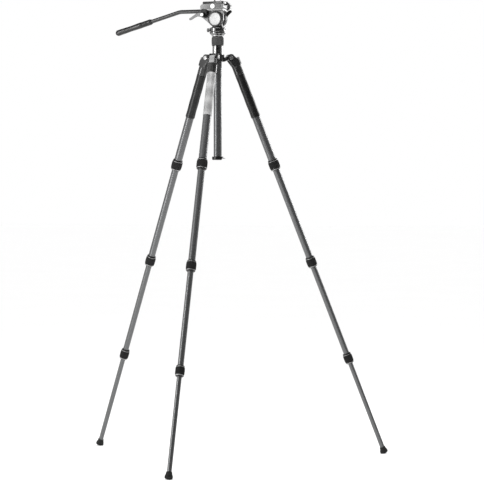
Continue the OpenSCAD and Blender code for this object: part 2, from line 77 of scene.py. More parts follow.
# The studio, in metres; bearings are degrees from the camera's own.
FLOOR_HALF = 40
CARD_DISTANCE, CARD_HEIGHT, CARD_BELOW = 3.4, 4.4, -0.2
LID_TONE = 0.10
STUDIO_WALLS = (            # name, start, end, tone
    ("front_card", -34, 6, 0.012),
    ("right_card", 6, 72, 0.05),
    ("far_right_card", 72, 176, 0.28),
    ("far_left_card", -176, -104, 0.30),
)
LAMPS = (                   # name, bearing, distance, height, size, share of the key's power
    ("key_strip", -60, 3.0, 1.0, (0.36, 3.0), 1.0),
    ("rim_strip", 128, 3.0, 1.65, (0.7, 0.9), 0.5),
    ("top_panel", -12, 1.3, 3.4, (2.0, 0.4), 0.7),
)
AIM_HEIGHT = 0.95


# ---- places, taken from the frame's joints -------------------------------------

def joint_at(name):
    return Vector(JOINTS[name]["pos_m"])


def joint_along(name):
    return Vector(JOINTS[name]["axis"]).normalized()


def axes_at(origin, x, y, z):
    """A placing matrix in millimetres, from an origin in metres and three unit axes."""
    turn = Matrix((x, y, z)).transposed().to_4x4()
    return Matrix.Translation(origin) @ turn @ Matrix.Scale(MM, 4)


def column_place():
    return axes_at(joint_at("column_lock_turn"), (1, 0, 0), (0, 1, 0), (0, 0, 1))


def head_place():
    """The head's own axes: X forwards, Y along the tilt axle, origin on the axle."""
    y = joint_along("tilt_turn")
    z = Vector((0, 0, 1))
    return axes_at(joint_at("tilt_turn"), y.cross(z), y, z)


def leg_place(leg):
    """A leg's own axes: Z up the tube, X outwards, origin on the hinge bolt."""
    y = -joint_along(leg + "_leg_fold")
    z = joint_along(leg + "_slide_1")
    return axes_at(joint_at(leg + "_leg_fold"), y.cross(z), y, z)


def tube_place(leg):
    """A leg's tube's own axes, level with the hinge bolt that it stands outside of."""
    place = leg_place(leg)
    low, high = measure(leg + "_tube_1", place)
    return place @ Matrix.Translation(((low.x + high.x) / 2, 0, 0))


def along_minus_y(place, x, y, z):
    """A place whose Z axis runs along the given place's -Y, for what turns beside the head."""
    turn = Matrix.Rotation(math.radians(90), 4, "X")
    return place @ Matrix.Translation((x, y, z)) @ turn


def measure(node, place):
    """Lowest and highest corner of a CAD node in a place's own axes, in millimetres."""
    back = place.inverted()
    points = [back @ v.co for v in frame["nodes"][node].data.vertices]
    low = Vector([min(p[i] for p in points) for i in range(3)])
    high = Vector([max(p[i] for p in points) for i in range(3)])
    return low, high


# ---- making meshes ---------------------------------------------------------------

def fillet(points, radius, steps=4, closed=False):
    """The same outline with each corner rounded, as far as its sides allow."""
    points = [Vector(p) for p in points]
    count = len(points)
    result = []
    for i, corner in enumerate(points):
        if not closed and i in (0, count - 1):
            result.append(corner)
            continue
        before, after = points[i - 1] - corner, points[(i + 1) % count] - corner
        reach = min(radius, before.length * 0.48, after.length * 0.48)
        start = corner + before.normalized() * reach
        end = corner + after.normalized() * reach
        for step in range(steps + 1):
            t = step / steps
            result.append((1 - t) ** 2 * start + 2 * t * (1 - t) * corner + t * t * end)
    return result


def lathe(profile, segments=96, closed=False):
    """A bmesh turned round Z from (radius, height) points; an open profile ends on the axis."""
    bm = bmesh.new()
    rings = []
    for radius, height in profile:
        if radius < 1e-6:
            rings.append([bm.verts.new((0, 0, height))])
        else:
            rings.append([
                bm.verts.new((radius * math.cos(TAU * i / segments),
                              radius * math.sin(TAU * i / segments), height))
                for i in range(segments)])
    pairs = list(zip(rings, rings[1:]))
    if closed:
        pairs.append((rings[-1], rings[0]))
    for low, high in pairs:
        for i in range(segments):
            j = (i + 1) % segments
            corners = [low[i % len(low)], low[j % len(low)], high[j % len(high)], high[i % len(high)]]
            corners = list(dict.fromkeys(corners))
            if len(corners) > 2:
                bm.faces.new(corners)
    bmesh.ops.recalc_face_normals(bm, faces=bm.faces)
    return bm


def slab(outline, low, high):
    """A bmesh of a flat outline in X and Z, thick from low to high along Y."""
    bm = bmesh.new()
    near = [bm.verts.new((x, low, z)) for x, z in outline]
    far = [bm.verts.new((x, high, z)) for x, z in outline]
    bm.faces.new(near)
    bm.faces.new(far[::-1])
    count = len(near)
    for i in range(count):
        j = (i + 1) % count
        bm.faces.new((near[j], near[i], far[i], far[j]))
    bmesh.ops.recalc_face_normals(bm, faces=bm.faces)
    return bm


def block(left, right, near, far, bottom, top):
    return slab([(left, bottom), (right, bottom), (right, top), (left, top)], near, far)


def sweep(points, radii, segments=32):
    """A bmesh of a round bar along points, with a radius at each and closed ends."""
    bm = bmesh.new()
    rings = []
    side = Vector((0, 1, 0))
    last = len(points) - 1
    for i, (point, radius) in enumerate(zip(points, radii)):
        along = (points[min(i + 1, last)] - points[max(i - 1, 0)]).normalized()
        across = side.cross(along).normalized()
        rings.append([
            bm.verts.new(point + radius * (math.cos(TAU * k / segments) * across
                                           + math.sin(TAU * k / segments) * side))
            for k in range(segments)])
    for low, high in zip(rings, rings[1:]):
        for k in range(segments):
            m = (k + 1) % segments
            bm.faces.new((low[k], low[m], high[m], high[k]))
    bm.faces.new(rings[0][::-1])
    bm.faces.new(rings[-1])
    bmesh.ops.recalc_face_normals(bm, faces=bm.faces)
    return bm


def circle_points(radius, centre=(0, 0), start=0, end=360, steps=48):
    return [Vector((centre[0] + radius * math.cos(math.radians(start + (end - start) * i / steps)),
                    centre[1] + radius * math.sin(math.radians(start + (end - start) * i / steps))))
            for i in range(steps)]


def mesh_object(name, bm, place):
    """An object at the origin whose mesh already stands in its place."""
    mesh = bpy.data.meshes.new(name)
    bm.to_mesh(mesh)
    bm.free()
    mesh.transform(place)
    piece = bpy.data.objects.new(name, mesh)
    bpy.context.scene.collection.objects.link(piece)
    return piece


def settle(piece, crease=35):
    """Turns a piece with its modifiers into a plain mesh with smooth, creased shading."""
    depsgraph = bpy.context.evaluated_depsgraph_get()
    mesh = bpy.data.meshes.new_from_object(piece.evaluated_get(depsgraph))
    piece.modifiers.clear()
    old = piece.data
    piece.data = mesh
    bpy.data.meshes.remove(old)
    mesh.name = piece.name
    mesh.shade_smooth()
    mesh.set_sharp_from_angle(angle=math.radians(crease))
    return piece


def bevel(piece, width, segments=2, angle=30):
    edge = piece.modifiers.new("edge", "BEVEL")
    edge.width = width * MM
    edge.segments = segments
    edge.limit_method = "ANGLE"
    edge.angle_limit = math.radians(angle)
    edge.use_clamp_overlap = True


def hand_over(piece, body, finish, stands_for=()):
    """Gives a finished mesh its finish, its body and the CAD nodes it stands for."""
    piece.data.materials.clear()
    piece.data.materials.append(FINISH[finish])
    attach(piece, body)
    if stands_for:
        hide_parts(*stands_for)
    return piece


def build(name, bm, place, body, finish, stands_for=(), edge=0, crease=35):
    piece = mesh_object(name, bm, place)
    if edge:
        bevel(piece, edge)
    settle(piece, crease)
    return hand_over(piece, body, finish, stands_for)


def copy_of(name, node):
    """A merged copy of a CAD node's mesh, flat faces made whole."""
    bm = bmesh.new()
    bm.from_mesh(frame["nodes"][node].data)
    bmesh.ops.remove_doubles(bm, verts=bm.verts, dist=2e-6)
    bmesh.ops.dissolve_limit(bm, angle_limit=math.radians(0.5), verts=bm.verts, edges=bm.edges)
    return mesh_object(name, bm, Matrix.Identity(4))


def eased(name, node, body, finish, edge=0.4):
    """A machined piece: the CAD shape with its edges broken."""
    piece = copy_of(name, node)
    bevel(piece, edge)
    settle(piece, 30)
    return hand_over(piece, body, finish, [node])


def cast(name, node, body, finish, grain=0.8, rounds=5):
    """A die-cast piece: the CAD shape with all its edges melted round."""
    piece = copy_of(name, node)
    melt = piece.modifiers.new("melt", "REMESH")
    melt.mode = "VOXEL"
    melt.voxel_size = grain * MM
    soft = piece.modifiers.new("soft", "SMOOTH")
    soft.factor = 0.5
    soft.iterations = rounds
    settle(piece, 60)
    return hand_over(piece, body, finish, [node])


# ---- rules built as node trees ------------------------------------------------------

class Nodes:
    """A short way to write a node tree: nodes, their links and their settings."""

    def __init__(self, tree):
        self.tree = tree

    def node(self, kind, links=None, **settings):
        made = self.tree.nodes.new(kind)
        for key, value in settings.items():
            setattr(made, key, value)
        for key, source in (links or {}).items():
            self.join(made.inputs[key], source)
        return made

    def join(self, socket, source):
        if isinstance(source, bpy.types.NodeSocket):
            self.tree.links.new(source, socket)
        elif isinstance(source, bpy.types.Node):
            self.tree.links.new(source.outputs[0], socket)
        else:
            socket.default_value = source

    def math(self, operation, *values):
        return self.node("ShaderNodeMath", dict(enumerate(values)), operation=operation)


class Tree(Nodes):
    """A geometry node tree with named inputs."""

    def __init__(self, name, sockets):
        super().__init__(bpy.data.node_groups.new(name, "GeometryNodeTree"))
        face = self.tree.interface
        face.new_socket("Geometry", in_out="OUTPUT", socket_type="NodeSocketGeometry")
        self.inputs = {}
        for label, kind in sockets:
            socket = face.new_socket(label, in_out="INPUT", socket_type="NodeSocket" + kind)
            self.inputs[label] = socket.identifier
        self.given = self.tree.nodes.new("NodeGroupInput")
        self.result = self.tree.nodes.new("NodeGroupOutput")

    def finish(self, geometry):
        real = self.node("GeometryNodeRealizeInstances", {0: geometry})
        painted = self.node("GeometryNodeSetMaterial",
                            {0: real, "Material": self.given.outputs["Material"]})
        self.tree.links.new(painted.outputs[0], self.result.inputs[0])


def rib_tree():
    """Raises ribs round a turned piece, on the part of it outside a given radius."""
    t = Tree("ribs round a grip", [
        ("Geometry", "Geometry"), ("Ribs", "Int"), ("Depth", "Float"), ("From Radius", "Float"),
        ("Middle", "Float"), ("Half Height", "Float"), ("Sharpness", "Float"),
        ("Material", "Material")])
    given = t.given.outputs
    place = t.node("GeometryNodeInputPosition")
    axes = t.node("ShaderNodeSeparateXYZ", {0: place})
    angle = t.math("ARCTAN2", axes.outputs[1], axes.outputs[0])
    wave = t.math("SINE", t.math("MULTIPLY", angle, given["Ribs"]))
    crest = t.math("MULTIPLY", wave, given["Sharpness"])
    level = t.node("ShaderNodeClamp", {"Value": crest, "Min": -1.0, "Max": 1.0})
    flat = t.node("ShaderNodeCombineXYZ", {0: axes.outputs[0], 1: axes.outputs[1]})
    radius = t.node("ShaderNodeVectorMath", {0: flat}, operation="LENGTH")
    outer = t.math("GREATER_THAN", radius.outputs["Value"], given["From Radius"])
    height = t.math("ABSOLUTE", t.math("SUBTRACT", axes.outputs[2], given["Middle"]))
    share = t.math("DIVIDE", height, given["Half Height"])
    fade = t.node("ShaderNodeMapRange", {"Value": share, "From Min": 0.78, "From Max": 0.98,
                                         "To Min": 1.0, "To Max": 0.0}, interpolation_type="SMOOTHSTEP")
    lift = t.math("MULTIPLY", t.math("MULTIPLY", level, outer),
                  t.math("MULTIPLY", fade, given["Depth"]))
    outwards = t.node("ShaderNodeVectorMath", {0: flat}, operation="NORMALIZE")
    offset = t.node("ShaderNodeVectorMath", {0: outwards, "Scale": lift}, operation="SCALE")
    moved = t.node("GeometryNodeSetPosition", {0: given["Geometry"], "Offset": offset})
    t.finish(moved)
    return t


def row_tree():
    """Adds a row of equal bars to a piece, along one line."""
    t = Tree("row of bars", [
        ("Geometry", "Geometry"), ("Count", "Int"), ("Start", "Vector"), ("Step", "Vector"),
        ("Bar", "Vector"), ("Turn", "Vector"), ("Material", "Material")])
    given = t.given.outputs
    line = t.node("GeometryNodeMeshLine", {"Count": given["Count"], "Start Location": given["Start"],
                                           "Offset": given["Step"]}, mode="OFFSET")
    bar = t.node("GeometryNodeMeshCube", {"Size": given["Bar"]})
    turn = t.node("FunctionNodeEulerToRotation", {0: given["Turn"]})
    bars = t.node("GeometryNodeInstanceOnPoints", {"Points": line, "Instance": bar, "Rotation": turn})
    both = t.node("GeometryNodeJoinGeometry")
    t.tree.links.new(given["Geometry"], both.inputs[0])
    t.tree.links.new(bars.outputs[0], both.inputs[0])
    t.finish(both)
    return t


TREES = {}


def tree_named(maker):
    if maker not in TREES:
        TREES[maker] = maker()
    return TREES[maker]


def build_by_rule(name, bm, maker, values, place, body, finish,
                  stands_for=(), edge=0, crease=35):
    """Runs a node tree on a mesh made in millimetres, then places it and hands it over."""
    piece = mesh_object(name, bm, Matrix.Identity(4))
    rule = tree_named(maker)
    modifier = piece.modifiers.new("rule", "NODES")
    modifier.node_group = rule.tree
    for label, value in values.items():
        modifier[rule.inputs[label]] = value
    modifier[rule.inputs["Material"]] = FINISH[finish]
    settle(piece, crease)
    piece.data.transform(place)
    if edge:
        bevel(piece, edge)
        settle(piece, crease)
    return hand_over(piece, body, finish, stands_for)


# ---- finishes ---------------------------------------------------------------------------

class Paint(Nodes):
    """A material's node tree."""

    def __init__(self, name, roughness, metallic=0.0, coat=0.0, coat_roughness=0.1, specular=0.5):
        self.material = bpy.data.materials.new(name)
        self.material.use_nodes = True
        super().__init__(self.material.node_tree)
        self.shader = self.tree.nodes["Principled BSDF"]
        for label, value in (("Roughness", roughness), ("Metallic", metallic), ("Coat Weight", coat),
                             ("Coat Roughness", coat_roughness), ("Specular IOR Level", specular)):
            self.shader.inputs[label].default_value = value
        self.place = self.node("ShaderNodeTexCoord").outputs["Object"]

    def noise(self, scale, detail=4.0, roughness=0.5, vector=None):
        return self.node("ShaderNodeTexNoise", {"Vector": vector or self.place, "Scale": scale,
                                                "Detail": detail, "Roughness": roughness}).outputs[0]

    def span(self, value, low, high, start=0.3, end=0.7):
        return self.node("ShaderNodeMapRange", {"Value": value, "From Min": start, "From Max": end,
                                                "To Min": low, "To Max": high})

    def mix(self, share, first, second):
        made = self.node("ShaderNodeMix", {0: share}, data_type="RGBA")
        self.join(made.inputs[6], first)
        self.join(made.inputs[7], second)
        return made.outputs[2]

    def bump(self, heights):
        """Stacks (height, strength, distance) layers of relief on the shader's normal."""
        normal = None
        for height, strength, distance in heights:
            links = {"Height": height, "Strength": strength, "Distance": distance}
            if normal is not None:
                links["Normal"] = normal
            normal = self.node("ShaderNodeBump", links).outputs[0]
        self.join(self.shader.inputs["Normal"], normal)

    def colour(self, source):
        self.join(self.shader.inputs["Base Color"], source)

    def rough(self, source):
        self.join(self.shader.inputs["Roughness"], source)


def grey(value, warm=0.0):
    return (value * (1 + warm), value, value * (1 - warm), 1.0)


def coated_metal(name, dark, light, roughness, metallic, coat, peel=0.00004, specular=0.5):
    """A coated casting: a slight orange peel, fine grain, and rubbed, slightly uneven gloss."""
    p = Paint(name, roughness, metallic, coat, 0.12, specular)
    cloud = p.noise(35.0, 5.0)
    speck = p.noise(1900.0, 2.0)
    blend = p.math("ADD", p.math("MULTIPLY", cloud, 0.6), p.math("MULTIPLY", speck, 0.4))
    tone = p.span(blend, 0.0, 1.0)
    p.colour(p.mix(tone, dark, light))
    p.rough(p.span(p.noise(90.0, 6.0), roughness - 0.05, roughness + 0.09))
    p.bump([(p.noise(420.0, 3.0), 0.2, peel), (speck, 0.12, peel * 0.5)])
    return p.material


def turned_metal(name, dark, light, roughness, pitch, stretch=(1, 1, 60)):
    """Bright metal with the fine, uneven lines that a lathe tool or a brush leaves."""
    p = Paint(name, roughness, 1.0)
    drawn = p.node("ShaderNodeMapping", {"Vector": p.place, "Scale": stretch})
    lines = p.noise(pitch, 5.0, 0.6, drawn.outputs[0])
    p.colour(p.mix(p.span(p.noise(60.0), 0.0, 1.0), dark, light))
    p.rough(p.span(lines, roughness - 0.05, roughness + 0.12))
    p.bump([(lines, 0.25, 0.00002)])
    return p.material


def rubber(name, tone, roughness=0.62, stipple=2200.0, depth=0.00006, specular=0.25):
    """Moulded rubber: a fine stipple and a slight dusty bloom."""
    p = Paint(name, roughness, 0.0, 0.0, 0.3, specular)
    bloom = p.noise(28.0, 6.0, 0.6)
    p.colour(p.mix(p.span(bloom, 0.0, 1.0), grey(tone), grey(tone * 1.6)))
    p.rough(p.span(p.noise(150.0, 4.0), roughness - 0.08, roughness + 0.1))
    p.bump([(p.noise(stipple, 3.0, 0.7), 0.6, depth)])
    return p.material


def closed_foam(name):
    """Closed-cell foam: small open pores in a matt skin, with painted shade in the pores."""
    p = Paint(name, 0.3, 0.0, 0.0, 0.3, 0.4)
    cells = p.node("ShaderNodeTexVoronoi", {"Vector": p.place, "Scale": 900.0, "Randomness": 1.0})
    pore_relief_and_shade = p.span(cells.outputs["Distance"], 0.0, 1.0, 0.05, 0.45)
    # Each pore's hollow is painted darker: painted shade in the open cells, under a random tone.
    tone = p.math("MULTIPLY", pore_relief_and_shade, p.span(p.noise(40.0, 5.0), 0.6, 1.0))
    p.colour(p.mix(tone, grey(0.003), grey(0.008)))
    p.rough(p.span(p.noise(220.0), 0.24, 0.36))
    p.bump([(pore_relief_and_shade, 0.2, 0.00005), (p.noise(60.0, 4.0), 0.1, 0.0002)])
    return p.material


def woven_carbon(name, place, radius):
    """A satin carbon tube: a twill of dark tows under clear resin, wrapped round its own axis, with a
    painted sheen on each tow's middle and painted shade at its edges.
    """
    p = Paint(name, 0.33, 0.7, 0.6, 0.12)
    back = place.inverted()
    turn = back.to_euler()
    scale = back.to_scale()
    local = p.node("ShaderNodeMapping", {"Vector": p.place, "Location": back.to_translation(),
                                         "Rotation": turn, "Scale": scale})
    axes = p.node("ShaderNodeSeparateXYZ", {0: local})
    around = p.math("MULTIPLY", p.math("ARCTAN2", axes.outputs[1], axes.outputs[0]), radius / TOW)
    up = p.math("DIVIDE", axes.outputs[2], TOW)
    diagonal = p.math("MODULO", p.math("ADD", p.math("FLOOR", around), p.math("FLOOR", up)), 4.0)
    over = p.math("GREATER_THAN", p.math("ABSOLUTE", diagonal), 1.5)
    warp = p.math("ABSOLUTE", p.math("SUBTRACT", p.math("FRACT", around), 0.5))
    weft = p.math("ABSOLUTE", p.math("SUBTRACT", p.math("FRACT", up), 0.5))
    crown_relief_and_sheen = p.node("ShaderNodeMix", {0: over, 2: warp, 3: weft})
    fibres = p.noise(2600.0, 2.0)
    # The tone is lightest in each tow's middle and darkest at its edges: painted sheen on the crowns
    # and painted shade between the tows, with random fibre grain over both.
    tone = p.math("ADD", p.math("MULTIPLY", crown_relief_and_sheen.outputs[0], 1.1), p.math("MULTIPLY", fibres, 0.25))
    p.colour(p.mix(tone, grey(0.15, -0.02), grey(0.045)))
    p.rough(p.span(p.math("ADD", over, p.noise(120.0)), 0.25, 0.40, 0.3, 1.7))
    p.bump([(crown_relief_and_sheen.outputs[0], 0.12, 0.00005), (p.noise(18.0, 3.0), 0.15, 0.0002)])
    return p.material


def dotted_wrap(name):
    """The pale wrap on the front leg: a printed halftone of grey dots, denser in bands along it."""
    p = Paint(name, 0.42, 0.0, 0.25, 0.2)
    flat = p.node("ShaderNodeUVMap", uv_map="wrap").outputs[0]
    axes = p.node("ShaderNodeSeparateXYZ", {0: flat})
    cell = p.node("ShaderNodeMapping", {"Vector": flat, "Scale": (DOTS_ROUND, DOTS_ALONG, 1.0)})
    part = p.node("ShaderNodeVectorMath", {0: cell}, operation="FRACTION")
    centred = p.node("ShaderNodeVectorMath", {0: part, 1: (0.5, 0.5, 0.0)}, operation="DISTANCE")
    wave = p.math("SINE", p.math("MULTIPLY", axes.outputs[1], 9.0))
    band = p.math("MULTIPLY", p.math("ABSOLUTE", wave), 0.16)
    size = p.math("ADD", 0.30, band)
    dot = p.math("LESS_THAN", centred.outputs["Value"], size)
    ink = p.math("MULTIPLY", dot, p.span(p.noise(500.0), 0.7, 1.0))
    p.colour(p.mix(ink, grey(0.46), grey(0.04)))
    p.rough(p.span(p.noise(140.0, 5.0), 0.34, 0.52))
    p.bump([(dot, 0.1, 0.00003), (p.noise(900.0), 0.2, 0.00003)])
    return p.material


def spun_face(name, centre):
    """A bright disc turned on a lathe: fine rings round its own centre."""
    p = Paint(name, 0.34, 0.4)
    away = p.node("ShaderNodeVectorMath", {0: p.place, 1: centre}, operation="DISTANCE")
    rings = p.math("SINE", p.math("MULTIPLY", away.outputs["Value"], TAU / RING_PITCH))
    broken = p.math("MULTIPLY", rings, p.span(p.noise(700.0, 3.0), 0.3, 1.0))
    p.colour(p.mix(p.span(p.noise(45.0, 4.0), 0.0, 1.0), grey(0.36), grey(0.44)))
    p.rough(p.span(p.noise(300.0, 5.0), 0.26, 0.42))
    p.bump([(broken, 0.12, 0.00003)])
    return p.material


def satin_plastic(name, dark, light, roughness=0.45, specular=0.5):
    """Moulded plastic: a spark-eroded texture and finger-polished patches."""
    p = Paint(name, roughness, 0.0, 0.1 * specular, 0.3, specular)
    p.colour(p.mix(p.span(p.noise(55.0, 5.0), 0.0, 1.0), dark, light))
    p.rough(p.span(p.noise(70.0, 6.0), roughness - 0.08, roughness + 0.12))
    p.bump([(p.noise(1600.0, 3.0, 0.7), 0.4, 0.00004)])
    return p.material


def plain_wall(name, value):
    """The studio's pale floor."""
    p = Paint(name, 0.9)
    p.colour(p.mix(p.span(p.noise(1.5, 3.0), 0.0, 1.0), grey(value), grey(value * 1.01)))
    return p.material


FINISH = {}


def make_finishes():
    """Every finish once, by the name that the pieces use."""
    head = head_place()
    FINISH.update({
        "cast dark": coated_metal("gunmetal casting", grey(0.03), grey(0.055), 0.2, 0.7, 0.6),
        "head black": coated_metal("black coated alloy", grey(0.004), grey(0.009), 0.2, 0.0, 0.12,
                                   specular=0.3),
        "tube black": coated_metal("satin black tube", grey(0.010), grey(0.014), 0.26, 0.1, 0.3,
                                   0.000005),
        "head silver": coated_metal("silver-grey coated alloy", grey(0.15), grey(0.20), 0.34, 0.6, 0.2),
        "drum": coated_metal("black chrome drum", grey(0.17), grey(0.23), 0.16, 1.0, 0.3, 0.00001),
        "sleeve": turned_metal("polished dark sleeve", grey(0.30), grey(0.40), 0.14, 260.0),
        "steel": turned_metal("turned steel", grey(0.58), grey(0.72), 0.26, 300.0),
        "bare": turned_metal("satin anodised alloy", grey(0.52), grey(0.64), 0.32, 280.0),
        "rubber": rubber("ribbed black rubber", 0.006),
        "collar rubber": rubber("dusty collar rubber", 0.045, 0.5),
        "grip rubber": rubber("smooth grip rubber", 0.005, 0.28, 1200.0, 0.000004, 0.5),
        "foot": rubber("foot rubber", 0.008, 0.66, 1500.0, 0.0001),
        "pad": rubber("grey pad rubber", 0.12, 0.66),
        "foam": closed_foam("black foam"),
        "wrap": dotted_wrap("dotted wrap"),
        "stop": satin_plastic("grey stop plate", grey(0.22), grey(0.29), 0.42),
        "grey plastic": satin_plastic("mid-grey plastic", grey(0.12), grey(0.18)),
        "light plastic": satin_plastic("light cap plastic", grey(0.72), grey(0.84), 0.35),
        "black plastic": satin_plastic("black satin plastic", grey(0.004), grey(0.009), 0.34, 0.3),
    })
    dial = head @ Vector((0, measure("drag_dial", head)[0].y, 0))
    FINISH["spun"] = spun_face("spun dial face", dial)
    for leg in LEGS:
        FINISH["carbon " + leg] = woven_carbon(leg + " leg carbon", tube_place(leg), LEG_WEAVE)
    FINISH["carbon column"] = woven_carbon("column carbon", column_place(), COLUMN_WEAVE)


# ---- shared shapes ------------------------------------------------------------------------

def ribbed_grip(name, place, low, high, radius, bore, ribs, depth, body, finish,
                stands_for=(), swell=0.0, sharpness=1.8, edge=1.2):
    """A hollow turned sleeve whose outer wall carries ribs, between two heights in millimetres."""
    steps = 14
    wall = [(radius - swell * (2 * i / steps - 1) ** 2, low + (high - low) * i / steps)
            for i in range(steps + 1)]
    outline = [(bore, high), (bore, low)] + fillet([(bore, low), *wall, (bore, high)], edge, 3)[1:-1]
    bm = lathe(outline, ribs * 8, closed=True)
    values = {"Ribs": ribs, "Depth": depth / 2, "From Radius": bore + (radius - bore) * 0.5,
              "Middle": (low + high) / 2, "Half Height": (high - low) / 2, "Sharpness": sharpness}
    return build_by_rule(name, bm, rib_tree, values, place, body, finish, stands_for, 0, 50)


def ring(name, place, low, high, radius, bore, body, finish, stands_for=(), edge=0.4):
    outline = fillet([(bore, low), (radius, low), (radius, high), (bore, high)], edge, 3, closed=True)
    return build(name, lathe(outline, 96, closed=True), place, body, finish, stands_for)


def disc(name, place, outline, body, finish, stands_for=(), edge=0.5, segments=96):
    """A solid turned piece from an open outline that starts and ends on the axis."""
    return build(name, lathe(fillet(outline, edge, 4), segments), place, body, finish, stands_for)


# ---- legs -------------------------------------------------------------------------------------

def make_lock(leg, n, sizes):
    """One twist lock: a black collar, a ribbed rubber sleeve and two bright rings."""
    place = tube_place(leg)
    node = f"{leg}_lock_{n}"
    body = f"{leg}_twist_{n}"
    low, high = measure(node, place)
    radius = high.x
    upper = measure(f"{leg}_tube_{n}", place)[1].x + GAP
    lower = measure(f"{leg}_tube_{n + 1}", place)[1].x + GAP
    lip = low.z + 7.5
    core = fillet([(upper, high.z), (upper, lip), (lower, lip), (lower, low.z), (radius - 3.4, low.z),
                   (radius - 1.7, low.z + 2.0), (radius - 1.7, high.z - 2.4), (radius - 3.2, high.z)],
                  0.6, 3, closed=True)
    build(node + "_collar", lathe(core, 96, closed=True), place, body,
          "black plastic", [node])
    depth = sizes.lock_rib_depth / MM
    groove = radius - LOCK_GROOVE
    ribbed_grip(node + "_rubber", place, low.z + 5.2, high.z - 6.4, radius - depth / 2, groove,
                sizes.lock_ribs, depth, body, "rubber", swell=0.5)
    for end, start, stop, outer in (("lower", low.z + 2.6, low.z + 4.0, radius - 1.1),
                                    ("upper", high.z - 5.6, high.z - 4.6, radius - 1.2)):
        ring(f"{node}_{end}_ring", place, start, stop, outer, groove, body, "bare")


def make_foot(leg):
    """A flared rubber foot with tread grooves and a domed sole."""
    place = tube_place(leg)
    low, high = measure(leg + "_foot", place)
    radius = high.x
    tube = measure(leg + "_tube_4", place)[1].x
    dome = [(radius * math.sin(math.radians(a)) * 0.99, low.z + 5.6 * (1 - math.cos(math.radians(a))))
            for a in range(0, 85, 12)]
    tread = [(radius, 6.4), (radius, 8.2), (radius - 1.0, 8.6), (radius - 1.0, 9.6),
             (radius - 0.2, 10.0), (radius - 0.5, 12.2), (radius - 1.6, 12.6), (radius - 1.7, 13.6),
             (tube + 2.6, 17.5)]
    outline = [*dome, *[(r, low.z + z) for r, z in tread], (tube + 2.0, high.z - 1.0),
               (tube + 1.2, high.z), (tube - 0.6, high.z), (0, high.z - 1)]
    disc(leg + "_foot_rubber", place, outline, leg + "_section_4", "foot",
         [leg + "_foot"], 0.5, 72)


def make_leg_top(leg):
    """A leg's casting, its angle stop and what covers its top tube."""
    place = tube_place(leg)
    body = leg + "_leg"
    cast(leg + "_leg_casting", leg + "_casting", body, "cast dark", 0.75, 4)
    stop = leg + "_angle_stop"
    eased(stop + "_tab", stop, leg + "_stop", "stop", 2.0)
    cover = "front_wrap" if leg == "front" else leg + "_grip"
    low, high = measure(cover, place)
    radius = high.x
    bore = measure(leg + "_tube_1", place)[1].x + SKIN_GAP
    if leg == "front":
        sleeve = ring("front_wrap_sleeve", place, low.z, high.z, radius, bore, body,
                      "wrap", ["front_wrap"], 0.3)
        unwrap(sleeve, place, low.z, high.z)
        return
    steps = 40
    wall = [(radius - FOAM_WAVE + FOAM_WAVE * math.cos(TAU * FOAM_WAVES * i / steps),
             low.z + (high.z - low.z) * i / steps) for i in range(steps + 1)]
    outline = [(bore, high.z)] + fillet([(bore, low.z), *wall, (bore, high.z)], 2.0, 5)[:-1]
    foam = build(cover + "_foam", lathe(outline, 96, closed=True), place, body, "foam", [cover])


def unwrap(piece, place, low, high):
    """Lays a turned sleeve's wall out flat: once round is 1 in U, its length is 1 in V."""
    layer = piece.data.uv_layers.new(name="wrap")
    back = place.inverted()
    points = [back @ v.co for v in piece.data.vertices]
    for face in piece.data.polygons:
        turns = [(math.atan2(points[piece.data.loops[i].vertex_index].y,
                             points[piece.data.loops[i].vertex_index].x) / TAU) % 1.0
                 for i in face.loop_indices]
        crosses = max(turns) - min(turns) > 0.5
        for i, turn in zip(face.loop_indices, turns):
            height = points[piece.data.loops[i].vertex_index].z
            across = turn + (1.0 if crosses and turn < 0.5 else 0.0)
            layer.data[i].uv = (across, (height - low) / (high - low))


def give(node, finish):
    """A CAD node whose shape is already right only gets its finish."""
    slots = frame["nodes"][node].data.materials
    slots.clear()
    slots.append(FINISH[finish])
    frame["nodes"][node].data.shade_smooth()
    frame["nodes"][node].data.set_sharp_from_angle(angle=math.radians(30))


# ---- operators ------------------------------------------------------------------------------------

def whole(name, description, default, low, high):
    return bpy.props.IntProperty(name=name, description=description, default=default, min=low, max=high)


def real(name, description, default, low, high, **kind):
    return bpy.props.FloatProperty(name=name, description=description, default=default,
                                   min=low, max=high, **kind)


class TripodSizes(bpy.types.PropertyGroup):
    """Sizes of the surface detail that a maker would change."""

    lock_ribs: whole("Lock ribs", "Ribs round each leg lock", 26, 8, 60)
    lock_rib_depth: real("Lock rib depth", "How deep the rubber ribs are", 0.0011, 0.0002, 0.003,
                         unit="LENGTH")
    collar_ribs: whole("Collar ribs", "Ribs round the column lock", 42, 8, 60)
    dial_teeth: whole("Dial teeth", "Serrations round the drag dial", 48, 12, 120)
    knob_teeth: whole("Knob teeth", "Serrations round each small knob", 24, 8, 60)
    handle_bend: real("Handle bend", "Radius of the handle's bend", 0.06, 0.02, 0.12, unit="LENGTH")


class StudioLook(bpy.types.PropertyGroup):
    """The studio's floor, light and camera."""

    floor_grey: real("Floor", "How pale the floor is", 0.99, 0.1, 1.0)
    key_watts: real("Key light", "Power of the tall strip light", 48.0, 0.0, 1000.0, unit="POWER")
    camera_lens: real("Lens", "Focal length in millimetres", 180.8, 20.0, 300.0)
    camera_distance: real("Distance", "From the camera to the centre column", 8.022, 2.0, 20.0,
                          unit="LENGTH")
    camera_height: real("Height", "Camera above the floor", 0.9215, 0.0, 3.0, unit="LENGTH")
    camera_bearing: real("Bearing", "Direction from the column to the camera",
                         math.radians(-74.91), -TAU, TAU, subtype="ANGLE")
    camera_pitch: real("Pitch", "How far the camera looks down",
                       math.radians(1.456), -TAU, TAU, subtype="ANGLE")
    camera_aside: real("Aside", "How far the view is turned right of the column",
                       math.radians(0.573), -TAU, TAU, subtype="ANGLE")


